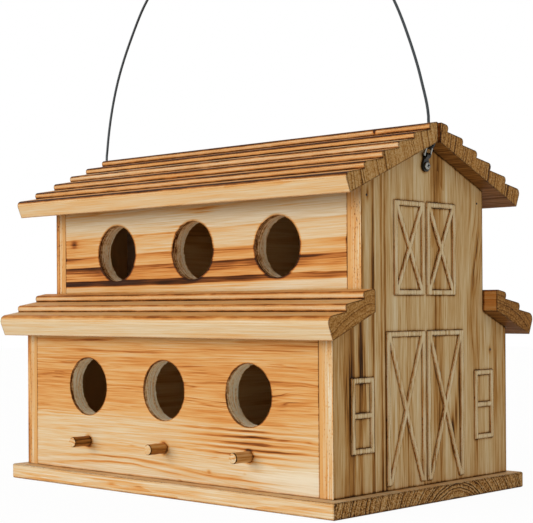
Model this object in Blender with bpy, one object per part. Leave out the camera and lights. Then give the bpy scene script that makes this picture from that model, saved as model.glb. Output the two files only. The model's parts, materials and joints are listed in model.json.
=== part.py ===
"""Barn-shaped birdhouse with twelve chambers, built from torch-burnt softwood boards.

The length runs along X, the long fronts face -Y and +Y, and Z points up.
The origin is the middle of the base board's underside. All sizes are in metres.
"""

import math

import bmesh
import bpy
from mathutils import Matrix, Vector

# Gap left between two pieces that touch
SEAT = 0.0003

# Base board: how far it stands out past the house on each side
BASE_THICKNESS = 0.0115
BASE_END_MARGIN = 0.0088
BASE_SIDE_MARGIN = 0.0095
BASE_EDGE_ROUND = 0.0012

# House body, measured over its outer faces
HOUSE_LENGTH = 0.3244
LOWER_WIDTH = 0.200
UPPER_WIDTH = 0.1406
LOWER_WALL_HEIGHT = 0.1094
UPPER_WALL_HEIGHT = 0.0883
PANEL_THICKNESS = 0.0118
WALL_THICKNESS = 0.0120
FLOOR_THICKNESS = 0.0100
PARTITION_THICKNESS = 0.0080

# Entrance holes, counted along one storey of one front
ENTRANCES = 3
ENTRANCE_DIAMETER = 0.0435
ENTRANCE_SPACING = 0.0860
LOWER_ENTRANCE_HEIGHT = 0.0649
UPPER_ENTRANCE_HEIGHT = 0.0462
ENTRANCE_EASE = 0.0007

# Perch dowels under the lower entrances
PERCH_DIAMETER = 0.0080
PERCH_REACH = 0.0160
PERCH_SOCKET_DEPTH = 0.0080
PERCH_HEIGHT = 0.0230
PERCH_END_CHAMFER = 0.0007

# Upper roof boards, milled into lapped courses
UPPER_PITCH = math.radians(23.0)
UPPER_EAVE_REACH = 0.0259
UPPER_FIRST_COURSE = 0.0063
UPPER_RIDGE_THICKNESS = 0.0153
UPPER_EAVE_THICKNESS = 0.0139
UPPER_RISER = 0.0048
UPPER_EAVE_ROUND = 0.0036
UPPER_END_OVERHANG = 0.0128
# How far each further course shows, as shares of an even spacing
UPPER_COURSE_SHARES = (0.99, 0.96, 0.96, 1.07, 1.02)

# Lower roof boards
LOWER_PITCH = math.radians(22.5)
LOWER_EAVE_REACH = 0.0137
LOWER_FIRST_COURSE = 0.0072
LOWER_TOP_THICKNESS = 0.0175
LOWER_EAVE_THICKNESS = 0.0163
LOWER_RISER = 0.0050
LOWER_EAVE_ROUND = 0.0048
LOWER_END_OVERHANG = 0.0122
LOWER_COURSE_SHARES = (1.0, 1.0)

# Rounding of the other sawn roof edges
COURSE_ROUND = 0.0027
RIDGE_ROUND = 0.0026
CUT_ROUND = 0.0016

# Raised doors and windows on the gable panels
RELIEF_RISE = 0.0012
RELIEF_STRIP = 0.0034
RELIEF_ROUND = 0.0004
LOFT_DOOR_WIDTH = 0.0342
LOFT_DOOR_HEIGHT = 0.0648
LOFT_DOOR_SILL = 0.0115
BARN_DOOR_WIDTH = 0.0431
BARN_DOOR_HEIGHT = 0.1045
BARN_DOOR_SILL = 0.0035
DOOR_GAP = 0.0025
WINDOW_WIDTH = 0.0232
WINDOW_HEIGHT = 0.0502
WINDOW_SILL = 0.0278
WINDOW_OFFSET = 0.0702

# Strap hangers, their rings and screws
STRAP_SHEET = 0.0008
STRAP_WIDTH = 0.0082
STRAP_NECK = 0.0044
RING_WIRE = 0.0018
RING_WIDTH = 0.0086
RING_HEIGHT = 0.0078
RING_CORNER = 0.0013
RING_CLEARANCE = 0.0003
RING_DROP = 0.0092
SCREW_DROP = 0.0072
SCREW_HEAD_DIAMETER = 0.0058
SCREW_HEAD_RISE = 0.0014
SCREW_SHANK_DIAMETER = 0.0028
SCREW_LENGTH = 0.0090
RING_TILT = {"right": math.radians(20.0), "left": math.radians(38.0)}

# Hanging wire, and the ridge slots it comes up through
WIRE_DIAMETER = 0.0021
EYE_INNER_DIAMETER = 0.0046
RIDGE_SLOT_WIDTH = 0.0029
RIDGE_SLOT_INSET = 0.0006
WIRE_EXIT_HEIGHT = 0.0139
WIRE_CROWN_HEIGHT = 0.1800
WIRE_SPREAD = {"right": 0.0038, "left": 0.0192}
# How far each leg has come in from its widest point, and how high it has risen by then
WIRE_SHOULDER = {
    "right": ((0.0061, 0.0303), (0.0163, 0.0600), (0.0300, 0.0903), (0.0512, 0.1220),
              (0.0797, 0.1495), (0.1192, 0.1710)),
    "left": ((0.0009, 0.0080), (0.0053, 0.0334), (0.0154, 0.0665), (0.0341, 0.1028), (0.0530, 0.1300),
             (0.0832, 0.1545), (0.1202, 0.1720)),
}

# How far a cutter runs past the face it cuts
CUT_PAST = 0.0020

# Facets on round pieces, and the distance between points along the wire
WIRE_POINT_SPACING = 0.0045
HOLE_SIDES = 56
DOWEL_SIDES = 24
SMALL_SIDES = 16
ROUND_STEPS = 5

SIDES = {"left": -1, "right": 1}
FRONTS = {"front": -1, "back": 1}

HALF_LOWER = LOWER_WIDTH / 2
HALF_UPPER = UPPER_WIDTH / 2
HALF_LENGTH = HOUSE_LENGTH / 2
HALF_ROOM = HALF_LENGTH - PANEL_THICKNESS
STEP_HEIGHT = BASE_THICKNESS + LOWER_WALL_HEIGHT + (HALF_LOWER - HALF_UPPER) * math.tan(LOWER_PITCH)
RIDGE_HEIGHT = STEP_HEIGHT + UPPER_WALL_HEIGHT + HALF_UPPER * math.tan(UPPER_PITCH)
FLOOR_BOTTOM = STEP_HEIGHT - FLOOR_THICKNESS
PARTITION_MIDDLES = [(i + 1 - ENTRANCES / 2) * ENTRANCE_SPACING for i in range(ENTRANCES - 1)]
ENTRANCE_MIDDLES = [(i - (ENTRANCES - 1) / 2) * ENTRANCE_SPACING for i in range(ENTRANCES)]


def lower_underside(y):
    """Height of a lower roof's underside at a distance y from the middle."""
    return STEP_HEIGHT - (abs(y) - HALF_UPPER) * math.tan(LOWER_PITCH)


def upper_underside(y):
    """Height of an upper roof's underside at a distance y from the middle."""
    return RIDGE_HEIGHT - abs(y) * math.tan(UPPER_PITCH)


def under_lower_roof(y):
    """Height of a board edge that carries the lower roof."""
    return lower_underside(y) - SEAT / math.cos(LOWER_PITCH)


def under_upper_roof(y):
    """Height of a board edge that carries the upper roof."""
    return upper_underside(y) - SEAT / math.cos(UPPER_PITCH)


def clear_scene():
    """Remove whatever the scene holds before the model is made."""
    for item in list(bpy.data.objects):
        bpy.data.objects.remove(item, do_unlink=True)


def material(name, colour, roughness, metallic=0.0):
    """A plain Principled finish, made once for each name."""
    found = bpy.data.materials.get(name)
    if found:
        return found
    made = bpy.data.materials.new(name)
    made.use_nodes = True
    shader = made.node_tree.nodes["Principled BSDF"]
    shader.inputs["Base Color"].default_value = (*colour, 1.0)
    shader.inputs["Roughness"].default_value = roughness
    shader.inputs["Metallic"].default_value = metallic
    return made


def wood_front():
    """Honey-coloured burnt softwood of the fronts and the base."""
    return material("burnt_softwood_front", (0.68, 0.40, 0.16), 0.55)


def wood_gable():
    """The browner boards of the gable ends."""
    return material("burnt_softwood_gable", (0.42, 0.26, 0.11), 0.55)


def wood_roof():
    """Deeper burnt boards of the roofs."""
    return material("burnt_softwood_roof", (0.55, 0.28, 0.11), 0.55)


def wood_inside():
    """Dark boards that divide the chambers."""
    return material("dark_inner_board", (0.07, 0.04, 0.02), 0.8)


def black_steel():
    """Blackened steel of the hanger and its wire."""
    return material("blackened_steel", (0.03, 0.03, 0.032), 0.35, 0.9)


def add_mesh_object(name, shape, finish):
    """Turn a bmesh into a named object of the scene."""
    bmesh.ops.recalc_face_normals(shape, faces=shape.faces)
    mesh = bpy.data.meshes.new(name)
    shape.to_mesh(mesh)
    shape.free()
    made = bpy.data.objects.new(name, mesh)
    bpy.context.scene.collection.objects.link(made)
    if finish:
        made.data.materials.append(finish)
    return made


def smooth(target, angle=math.radians(35)):
    """Shade a round piece smooth, with its real edges left sharp."""
    for face in target.data.polygons:
        face.use_smooth = True
    target.data.set_sharp_from_angle(angle=angle)


def prism(name, outline, low, high, axis, finish):
    """Push a flat outline from low to high along X or Y.

    Along X the outline holds (y, z) pairs, and along Y it holds (x, z) pairs.
    """
    shape = bmesh.new()
    if axis == "X":
        ring = [shape.verts.new((low, a, b)) for a, b in outline]
        push = Vector((high - low, 0, 0))
    else:
        ring = [shape.verts.new((a, low, b)) for a, b in outline]
        push = Vector((0, high - low, 0))
    face = shape.faces.new(ring)
    grown = bmesh.ops.extrude_face_region(shape, geom=[face])
    moved = [item for item in grown["geom"] if isinstance(item, bmesh.types.BMVert)]
    bmesh.ops.translate(shape, verts=moved, vec=push)
    return add_mesh_object(name, shape, finish)


def turned(name, profile, sides, direction, place, finish):
    """Spin a profile of (radius, distance) pairs about a direction through a place."""
    shape = bmesh.new()
    points = [shape.verts.new((radius, 0, along)) for radius, along in profile]
    edges = [shape.edges.new(pair) for pair in zip(points, points[1:])]
    bmesh.ops.spin(
        shape, geom=points + edges, cent=(0, 0, 0), axis=(0, 0, 1),
        angle=2 * math.pi, steps=sides, use_merge=True, use_normal_flip=False)
    bmesh.ops.remove_doubles(shape, verts=shape.verts, dist=0.00001)
    turn = Vector((0, 0, 1)).rotation_difference(Vector(direction))
    bmesh.ops.rotate(shape, verts=shape.verts, cent=(0, 0, 0), matrix=turn.to_matrix())
    bmesh.ops.translate(shape, verts=shape.verts, vec=place)
    return add_mesh_object(name, shape, finish)


def rounded(corners):
    """Outline points for (a, b, radius) corners, with an arc at each rounded one."""
    points = []
    for i, (a, b, radius) in enumerate(corners):
        corner = Vector((a, b))
        if radius == 0:
            points.append((a, b))
            continue
        before = (Vector(corners[i - 1][:2]) - corner).normalized()
        after = (Vector(corners[(i + 1) % len(corners)][:2]) - corner).normalized()
        half = before.angle(after) / 2
        centre = corner + (before + after).normalized() * radius / math.sin(half)
        start = corner + before * radius / math.tan(half) - centre
        turn = start.angle_signed(corner + after * radius / math.tan(half) - centre)
        for step in range(ROUND_STEPS + 1):
            spoke = Matrix.Rotation(-turn * step / ROUND_STEPS, 2) @ start
            points.append(tuple(centre + spoke))
    return points


def hide_cutter(cutter):
    """Keep a cutter out of the model."""
    cutter.hide_render = True
    cutter.display_type = "WIRE"


def combine(target, other, operation):
    """Cut, join or intersect a target with a helper shape."""
    step = target.modifiers.new(operation.lower() + "_" + other.name, "BOOLEAN")
    step.operation = operation
    step.solver = "EXACT"
    step.object = other
    hide_cutter(other)


def base_board():
    """The board that everything stands on, its edges broken by hand sanding."""
    half_x = HALF_LENGTH + BASE_END_MARGIN
    half_y = HALF_LOWER + BASE_SIDE_MARGIN
    outline = [(-half_y, 0), (half_y, 0), (half_y, BASE_THICKNESS), (-half_y, BASE_THICKNESS)]
    board = prism("base_board", outline, -half_x, half_x, "X", wood_front())
    edge = board.modifiers.new("broken_edges", "BEVEL")
    edge.width = BASE_EDGE_ROUND
    edge.segments = 2


def gable_outline():
    """Barn profile of a gable panel, seated under all four roof boards."""
    bottom = BASE_THICKNESS + SEAT
    right = [
        (HALF_LOWER, bottom),
        (HALF_LOWER, under_lower_roof(HALF_LOWER)),
        (HALF_UPPER, under_lower_roof(HALF_UPPER)),
        (HALF_UPPER, under_upper_roof(HALF_UPPER)),
    ]
    left = [(-y, z) for y, z in reversed(right)]
    return right + [(0, under_upper_roof(0))] + left


def window_outlines(centre, bottom):
    """Outlines of a window's frame and its two panes, as (y, z) pairs."""
    low_y, high_y = centre - WINDOW_WIDTH / 2, centre + WINDOW_WIDTH / 2
    top = bottom + WINDOW_HEIGHT
    middle = (bottom + top) / 2
    half = RELIEF_STRIP / 2

    def box(inset, low_z, high_z):
        left, right = low_y + inset, high_y - inset
        return [(left, low_z), (right, low_z), (right, high_z), (left, high_z)]

    lower_pane = box(RELIEF_STRIP, bottom + RELIEF_STRIP, middle - half)
    upper_pane = box(RELIEF_STRIP, middle + half, top - RELIEF_STRIP)
    return [box(0, bottom, top), lower_pane, upper_pane]


def door_outlines(centre, bottom, width, height, foot_rail):
    """Outlines of a door's frame and of the gaps between its crossed braces, as (y, z) pairs.

    Without a foot rail the stiles and braces run out at the bottom, and the lowest gap is open.
    """
    low_y, high_y = centre - width / 2, centre + width / 2
    top = bottom + height
    in_low_y, in_high_y = low_y + RELIEF_STRIP, high_y - RELIEF_STRIP
    in_bottom = bottom + (RELIEF_STRIP if foot_rail else 0)
    in_top = top - RELIEF_STRIP
    middle = (in_bottom + in_top) / 2
    rise, run = in_top - in_bottom, in_high_y - in_low_y
    length = math.hypot(rise, run)
    # Half a brace's width, measured along the rails and along the stiles
    along_rail = RELIEF_STRIP / 2 * length / rise
    along_stile = RELIEF_STRIP / 2 * length / run
    rail_low, rail_high = in_low_y + along_rail, in_high_y - along_rail
    stile_low, stile_high = in_bottom + along_stile, in_top - along_stile
    lower = [(rail_low, in_bottom), (centre, middle - along_stile), (rail_high, in_bottom)]
    upper = [(rail_low, in_top), (rail_high, in_top), (centre, middle + along_stile)]
    left = [(in_low_y, stile_low), (in_low_y, stile_high), (centre - along_rail, middle)]
    right = [(in_high_y, stile_low), (in_high_y, stile_high), (centre + along_rail, middle)]
    rim = [(high_y, bottom), (high_y, top), (low_y, top), (low_y, bottom)]
    if foot_rail:
        return [rim, lower, upper, left, right]
    return [rim + lower, upper, left, right]


def raised_frame(name, outlines, face_x):
    """A filled flat curve, thickened and rounded, that stands proud of the panel."""
    data = bpy.data.curves.new(name, "CURVE")
    data.dimensions = "2D"
    data.fill_mode = "BOTH"
    data.extrude = RELIEF_RISE - RELIEF_ROUND
    data.bevel_depth = RELIEF_ROUND
    data.bevel_resolution = 1
    data.offset = -RELIEF_ROUND
    for outline in outlines:
        line = data.splines.new("POLY")
        line.points.add(len(outline) - 1)
        for point, (y, z) in zip(line.points, outline):
            point.co = (y, z, 0, 1)
        line.use_cyclic_u = True
    drawn = bpy.data.objects.new(name + "_drawing", data)
    bpy.context.scene.collection.objects.link(drawn)
    # The drawing's X and Y become the panel's Y and Z
    drawn.rotation_euler = (math.pi / 2, 0, math.pi / 2)
    drawn.location = (face_x, 0, 0)
    bpy.context.view_layer.update()
    evaluated = drawn.evaluated_get(bpy.context.evaluated_depsgraph_get())
    mesh = bpy.data.meshes.new_from_object(evaluated)
    mesh.transform(drawn.matrix_world)
    bpy.data.objects.remove(drawn, do_unlink=True)
    shape = bmesh.new()
    shape.from_mesh(mesh)
    bmesh.ops.remove_doubles(shape, verts=shape.verts, dist=0.00001)
    return add_mesh_object(name, shape, None)


def gable_reliefs():
    """All the raised frames of one gable, as named groups of outlines."""
    frames = {}
    for side, sign in SIDES.items():
        loft_y = sign * (DOOR_GAP + LOFT_DOOR_WIDTH) / 2
        frames["loft_door_" + side] = door_outlines(
            loft_y, STEP_HEIGHT + LOFT_DOOR_SILL, LOFT_DOOR_WIDTH, LOFT_DOOR_HEIGHT, True)
        barn_y = sign * (DOOR_GAP + BARN_DOOR_WIDTH) / 2
        frames["barn_door_" + side] = door_outlines(
            barn_y, BASE_THICKNESS + BARN_DOOR_SILL, BARN_DOOR_WIDTH, BARN_DOOR_HEIGHT, False)
        frames["window_" + side] = window_outlines(sign * WINDOW_OFFSET, BASE_THICKNESS + WINDOW_SILL)
    return frames


def gable_panel(side):
    """One-piece end board with its raised doors and windows and the screw's pilot hole."""
    sign = SIDES[side]
    low_x, high_x = sorted((sign * HALF_ROOM, sign * HALF_LENGTH))
    panel = prism("gable_panel_" + side, gable_outline(), low_x, high_x, "X", wood_gable())
    for name, outlines in gable_reliefs().items():
        frame = raised_frame(name + "_" + side, outlines, sign * HALF_LENGTH)
        combine(panel, frame, "UNION")
    pilot = turned(
        "pilot_hole_" + side,
        [(0, -SCREW_LENGTH - SEAT), (SCREW_SHANK_DIAMETER / 2 + SEAT, -SCREW_LENGTH - SEAT),
         (SCREW_SHANK_DIAMETER / 2 + SEAT, SCREW_LENGTH), (0, SCREW_LENGTH)],
        SMALL_SIDES, (sign, 0, 0), (sign * HALF_LENGTH, 0, screw_height()), None)
    combine(panel, pilot, "DIFFERENCE")


def entrance_cutters(wall, name, front, outer_y, middle_z):
    """Cut the row of entrances through a wall, their outer rims eased."""
    sign = FRONTS[front]
    radius = ENTRANCE_DIAMETER / 2
    rim = radius + ENTRANCE_EASE
    through = WALL_THICKNESS + CUT_PAST
    profile = [
        (0, -through), (radius, -through), (radius, -ENTRANCE_EASE), (rim, 0), (rim, CUT_PAST), (0, CUT_PAST)]
    for i, middle_x in enumerate(ENTRANCE_MIDDLES):
        cutter = turned(
            "entrance_cutter_%s_%s" % (name, i + 1), profile, HOLE_SIDES,
            (0, sign, 0), (middle_x, sign * outer_y, middle_z), None)
        combine(wall, cutter, "DIFFERENCE")


def perch_socket_cutters(wall, front):
    """Blind sockets for the perch dowels."""
    sign = FRONTS[front]
    radius = PERCH_DIAMETER / 2 + SEAT
    depth = PERCH_SOCKET_DEPTH + SEAT
    profile = [(0, -depth), (radius, -depth), (radius, CUT_PAST), (0, CUT_PAST)]
    for i, middle_x in enumerate(ENTRANCE_MIDDLES):
        cutter = turned(
            "socket_cutter_%s_%s" % (front, i + 1), profile, DOWEL_SIDES,
            (0, sign, 0), (middle_x, sign * HALF_LOWER, BASE_THICKNESS + PERCH_HEIGHT), None)
        combine(wall, cutter, "DIFFERENCE")


def lower_wall(front):
    """Lower front board, its top edge bevelled to carry the lower roof."""
    sign = FRONTS[front]
    bottom = BASE_THICKNESS + SEAT
    inner_y = HALF_LOWER - WALL_THICKNESS
    outline = [
        (sign * inner_y, bottom), (sign * HALF_LOWER, bottom),
        (sign * HALF_LOWER, under_lower_roof(HALF_LOWER)), (sign * inner_y, under_lower_roof(inner_y))]
    half_x = HALF_ROOM - SEAT
    wall = prism(front + "_lower_wall", outline, -half_x, half_x, "X", wood_front())
    entrance_cutters(wall, front + "_lower", front, HALF_LOWER, BASE_THICKNESS + LOWER_ENTRANCE_HEIGHT)
    perch_socket_cutters(wall, front)


def upper_wall(front):
    """Upper front board, standing on the upper floor."""
    sign = FRONTS[front]
    bottom = STEP_HEIGHT + SEAT
    inner_y = HALF_UPPER - WALL_THICKNESS
    outline = [
        (sign * inner_y, bottom), (sign * HALF_UPPER, bottom),
        (sign * HALF_UPPER, under_upper_roof(HALF_UPPER)), (sign * inner_y, under_upper_roof(inner_y))]
    half_x = HALF_ROOM - SEAT
    wall = prism(front + "_upper_wall", outline, -half_x, half_x, "X", wood_front())
    entrance_cutters(wall, front + "_upper", front, HALF_UPPER, STEP_HEIGHT + UPPER_ENTRANCE_HEIGHT)


def upper_floor():
    """Board between the storeys, let in between the gable panels."""
    outline = [
        (-HALF_UPPER, FLOOR_BOTTOM), (HALF_UPPER, FLOOR_BOTTOM),
        (HALF_UPPER, STEP_HEIGHT), (-HALF_UPPER, STEP_HEIGHT)]
    half_x = HALF_ROOM - SEAT
    prism("upper_floor", outline, -half_x, half_x, "X", wood_inside())


def spine(name, bottom, top):
    """Lengthwise partition, slotted from below where the cross partitions pass."""
    half_x = HALF_ROOM - SEAT
    half_slot = PARTITION_THICKNESS / 2 + SEAT
    lap = (bottom + top) / 2 + SEAT / 2
    outline = [(-half_x, bottom)]
    for middle in PARTITION_MIDDLES:
        outline += [(middle - half_slot, bottom), (middle - half_slot, lap),
                    (middle + half_slot, lap), (middle + half_slot, bottom)]
    outline += [(half_x, bottom), (half_x, top), (-half_x, top)]
    half_y = PARTITION_THICKNESS / 2
    prism(name, outline, -half_y, half_y, "Y", wood_inside())


def cross_partition(name, middle_x, right_outline, bottom, spine_top):
    """Cross partition, slotted from above for the spine. The outline is its right half."""
    half_slot = PARTITION_THICKNESS / 2 + SEAT
    lap = (bottom + spine_top) / 2 - SEAT / 2
    right = [(half_slot, lap)]
    left = [(-half_slot, lap)]
    outline = [(-y, z) for y, z in right_outline] + list(reversed(right_outline))
    # The outline runs down the left side, along the bottom, up the right side and into the slot
    outline = left + outline + right
    half_x = PARTITION_THICKNESS / 2
    prism(name, outline, middle_x - half_x, middle_x + half_x, "X", wood_inside())


def lower_partitions():
    """Spine and cross partitions that make six rooms of the lower storey."""
    bottom = BASE_THICKNESS + SEAT
    ceiling = FLOOR_BOTTOM - SEAT
    spine("lower_spine", bottom, ceiling)
    wall_y = HALF_LOWER - WALL_THICKNESS - SEAT
    corner_y = HALF_UPPER + SEAT
    half_slot = PARTITION_THICKNESS / 2 + SEAT
    right = [
        (half_slot, ceiling), (corner_y, ceiling), (corner_y, under_lower_roof(corner_y)),
        (wall_y, under_lower_roof(wall_y)), (wall_y, bottom)]
    for i, middle in enumerate(PARTITION_MIDDLES):
        cross_partition("lower_divider_%d" % (i + 1), middle, right, bottom, ceiling)


def upper_partitions():
    """Spine and cross partitions that make six rooms of the upper storey."""
    bottom = STEP_HEIGHT + SEAT
    spine_top = under_upper_roof(PARTITION_THICKNESS / 2)
    spine("upper_spine", bottom, spine_top)
    wall_y = HALF_UPPER - WALL_THICKNESS - SEAT
    half_slot = PARTITION_THICKNESS / 2 + SEAT
    right = [
        (half_slot, under_upper_roof(half_slot)), (wall_y, under_upper_roof(wall_y)), (wall_y, bottom)]
    for i, middle in enumerate(PARTITION_MIDDLES):
        cross_partition("upper_divider_%d" % (i + 1), middle, right, bottom, spine_top)


def course_outline(cut, pitch, shares, first, eave, top_thickness, eave_thickness, riser,
                   cut_round, eave_round):
    """Section of a roof board milled into lapped courses, as (y, z) pairs for the +Y side.

    Distances run down the slope from the foot of the plumb cut, and thicknesses stand square to the
    underside. All treads have one slant, so a wider course has a higher riser above it.
    """
    down = Vector((math.cos(pitch), -math.sin(pitch)))
    out = Vector((math.sin(pitch), math.cos(pitch)))
    start = Vector(cut)
    loss = (top_thickness - eave_thickness) / len(shares)
    slant = (riser - loss) / ((eave - first) / len(shares))
    plumb = (top_thickness - slant * first) / (math.cos(pitch) + slant * math.sin(pitch))
    corners = [(start.x, start.y, 0), (start.x, start.y + plumb, cut_round)]
    along, thickness = first, top_thickness
    for share in shares:
        width = (eave - first) * share / sum(shares)
        nose = start + down * along + out * thickness
        foot = start + down * along + out * (thickness - loss - slant * width)
        corners += [(nose.x, nose.y, COURSE_ROUND), (foot.x, foot.y, 0)]
        along += width
        thickness -= loss
    nose = start + down * eave + out * eave_thickness
    tail = start + down * eave
    corners += [(nose.x, nose.y, eave_round), (tail.x, tail.y, 0)]
    return rounded(corners)


def roof_board(name, outline, sign, half_x):
    """Push a roof section out over the length of the house."""
    placed = [(sign * y, z) for y, z in outline]
    return prism(name, placed, -half_x, half_x, "X", wood_roof())


def lower_roofs():
    """Skirt roofs over the wider lower storey, plumb cut against the upper walls."""
    cut_y = HALF_UPPER + SEAT
    eave = (HALF_LOWER + LOWER_EAVE_REACH - cut_y) / math.cos(LOWER_PITCH)
    outline = course_outline(
        (cut_y, lower_underside(cut_y)), LOWER_PITCH, LOWER_COURSE_SHARES, LOWER_FIRST_COURSE, eave,
        LOWER_TOP_THICKNESS, LOWER_EAVE_THICKNESS, LOWER_RISER, CUT_ROUND, LOWER_EAVE_ROUND)
    for front, sign in FRONTS.items():
        roof_board("lower_roof_" + front, outline, sign, HALF_LENGTH + LOWER_END_OVERHANG)


def ridge_slot_cutter(side):
    """Open-ended slot in the ridge joint, round at its inner end."""
    sign = SIDES[side]
    half = RIDGE_SLOT_WIDTH / 2
    inner_x = HALF_LENGTH + RIDGE_SLOT_INSET + half
    past_x = HALF_LENGTH + UPPER_END_OVERHANG + CUT_PAST
    arc = []
    for step in range(SMALL_SIDES // 2 + 1):
        angle = math.pi * step / (SMALL_SIDES // 2)
        arc.append((sign * (inner_x - half * math.sin(angle)), half * math.cos(angle)))
    outline = [(sign * past_x, half)] + arc + [(sign * past_x, -half)]
    low = RIDGE_HEIGHT - UPPER_RIDGE_THICKNESS
    shape = bmesh.new()
    ring = [shape.verts.new((x, y, low)) for x, y in outline]
    face = shape.faces.new(ring)
    grown = bmesh.ops.extrude_face_region(shape, geom=[face])
    moved = [item for item in grown["geom"] if isinstance(item, bmesh.types.BMVert)]
    bmesh.ops.translate(shape, verts=moved, vec=(0, 0, 3 * UPPER_RIDGE_THICKNESS))
    return add_mesh_object("ridge_slot_cutter_" + side, shape, None)


def upper_roofs():
    """Main roof boards, meeting in a plumb joint at the ridge."""
    cut_y = SEAT / 2
    eave = (HALF_UPPER + UPPER_EAVE_REACH - cut_y) / math.cos(UPPER_PITCH)
    outline = course_outline(
        (cut_y, upper_underside(cut_y)), UPPER_PITCH, UPPER_COURSE_SHARES, UPPER_FIRST_COURSE, eave,
        UPPER_RIDGE_THICKNESS, UPPER_EAVE_THICKNESS, UPPER_RISER, RIDGE_ROUND, UPPER_EAVE_ROUND)
    cutters = [ridge_slot_cutter(side) for side in SIDES]
    for front, sign in FRONTS.items():
        board = roof_board("upper_roof_" + front, outline, sign, HALF_LENGTH + UPPER_END_OVERHANG)
        for cutter in cutters:
            combine(board, cutter, "DIFFERENCE")


def perches():
    """Dowels glued into their sockets under the lower entrances."""
    radius = PERCH_DIAMETER / 2
    profile = [
        (0, -PERCH_SOCKET_DEPTH), (radius, -PERCH_SOCKET_DEPTH), (radius, PERCH_REACH - PERCH_END_CHAMFER),
        (radius - PERCH_END_CHAMFER, PERCH_REACH), (0, PERCH_REACH)]
    for front, sign in FRONTS.items():
        for i, middle_x in enumerate(ENTRANCE_MIDDLES):
            perch = turned(
                "perch_%s_%d" % (front, i + 1), profile, DOWEL_SIDES, (0, sign, 0),
                (middle_x, sign * HALF_LOWER, BASE_THICKNESS + PERCH_HEIGHT), wood_roof())
            smooth(perch)


def ring_axis(side):
    """Middle of a strap's fold, about which its ring tilts."""
    fold = RING_WIRE / 2 + RING_CLEARANCE + STRAP_SHEET
    return Vector((SIDES[side] * (HALF_LENGTH + SEAT + fold), 0, RIDGE_HEIGHT - RING_DROP))


def screw_height():
    """Height of the strap screw's axis."""
    return RIDGE_HEIGHT - RING_DROP - SCREW_DROP


def strap_hanger(side):
    """Steel strip folded round its ring, pear-shaped and screwed to the gable."""
    sign = SIDES[side]
    axis = ring_axis(side)
    bore = RING_WIRE / 2 + RING_CLEARANCE
    fold = bore + STRAP_SHEET
    back_x = HALF_LENGTH + SEAT
    front_x = back_x + 2 * STRAP_SHEET
    bottom = screw_height() - STRAP_WIDTH
    section = [(back_x, bottom), (back_x, axis.z)]
    turn = math.radians(230)
    for step in range(1, SMALL_SIDES):
        angle = math.pi - turn * step / SMALL_SIDES
        section.append((back_x + fold + fold * math.cos(angle), axis.z + fold * math.sin(angle)))
    section += [(front_x, axis.z - fold - STRAP_SHEET), (front_x, bottom)]
    strip = prism(
        "strap_hanger_" + side, [(sign * x, z) for x, z in section],
        -STRAP_WIDTH, STRAP_WIDTH, "Y", black_steel())
    combine(strip, pear_cutter(side, axis.z - fold - SEAT, axis.z + 2 * fold), "INTERSECT")
    reach = (0, 1, 0)
    bore_profile = [(0, -STRAP_WIDTH), (bore, -STRAP_WIDTH), (bore, STRAP_WIDTH), (0, STRAP_WIDTH)]
    combine(strip, turned("fold_bore_" + side, bore_profile, SMALL_SIDES, reach, axis, None), "DIFFERENCE")
    hole = SCREW_SHANK_DIAMETER / 2 + SEAT
    through = 2 * STRAP_SHEET + CUT_PAST
    hole_profile = [(0, -CUT_PAST), (hole, -CUT_PAST), (hole, through), (0, through)]
    cutter = turned(
        "strap_hole_" + side, hole_profile, SMALL_SIDES, (sign, 0, 0),
        (sign * HALF_LENGTH, 0, screw_height()), None)
    combine(strip, cutter, "DIFFERENCE")


def pear_cutter(side, shoulder, top):
    """Outline of the strap seen from the front: round at the screw, a narrow neck at the fold."""
    sign = SIDES[side]
    radius = STRAP_WIDTH / 2
    outline = [(-STRAP_NECK / 2, top), (-STRAP_NECK / 2, shoulder)]
    for step in range(SMALL_SIDES + 1):
        angle = math.radians(170 + 200 * step / SMALL_SIDES)
        outline.append((radius * math.cos(angle), screw_height() + radius * math.sin(angle)))
    outline += [(STRAP_NECK / 2, shoulder), (STRAP_NECK / 2, top)]
    low, high = sorted((sign * (HALF_LENGTH - CUT_PAST), sign * (HALF_LENGTH + STRAP_WIDTH)))
    return prism("pear_cutter_" + side, outline, low, high, "X", None)


def wire_curve(name, points, diameter, closed, finish):
    """A round wire along computed points."""
    data = bpy.data.curves.new(name, "CURVE")
    data.dimensions = "3D"
    data.bevel_depth = diameter / 2
    data.bevel_resolution = 2
    data.use_fill_caps = not closed
    line = data.splines.new("POLY")
    line.points.add(len(points) - 1)
    for target, point in zip(line.points, points):
        target.co = (*point, 1)
    line.use_cyclic_u = closed
    line.use_smooth = True
    made = bpy.data.objects.new(name, data)
    data.materials.append(finish)
    bpy.context.scene.collection.objects.link(made)
    return made


def ring(side):
    """D-shaped ring: a straight bar in the strap's fold and a round bow above it."""
    half_bow = (RING_WIDTH - RING_WIRE) / 2
    half_side = []
    for step in range(5):
        angle = math.radians(-90 + 90 * step / 4)
        along = half_bow - RING_CORNER + RING_CORNER * math.cos(angle)
        half_side.append((along, RING_CORNER + RING_CORNER * math.sin(angle)))
    bow = []
    for step in range(1, SMALL_SIDES):
        angle = math.pi * step / SMALL_SIDES
        bow.append((half_bow * math.cos(angle), RING_HEIGHT - half_bow + half_bow * math.sin(angle)))
    outline = half_side + bow + [(-y, z) for y, z in reversed(half_side)]
    points = [(0, y, z) for y, z in outline]
    made = wire_curve("d_ring_" + side, points, RING_WIRE, True, black_steel())
    made.location = ring_axis(side)
    made.rotation_euler = (0, SIDES[side] * RING_TILT[side], 0)


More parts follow.
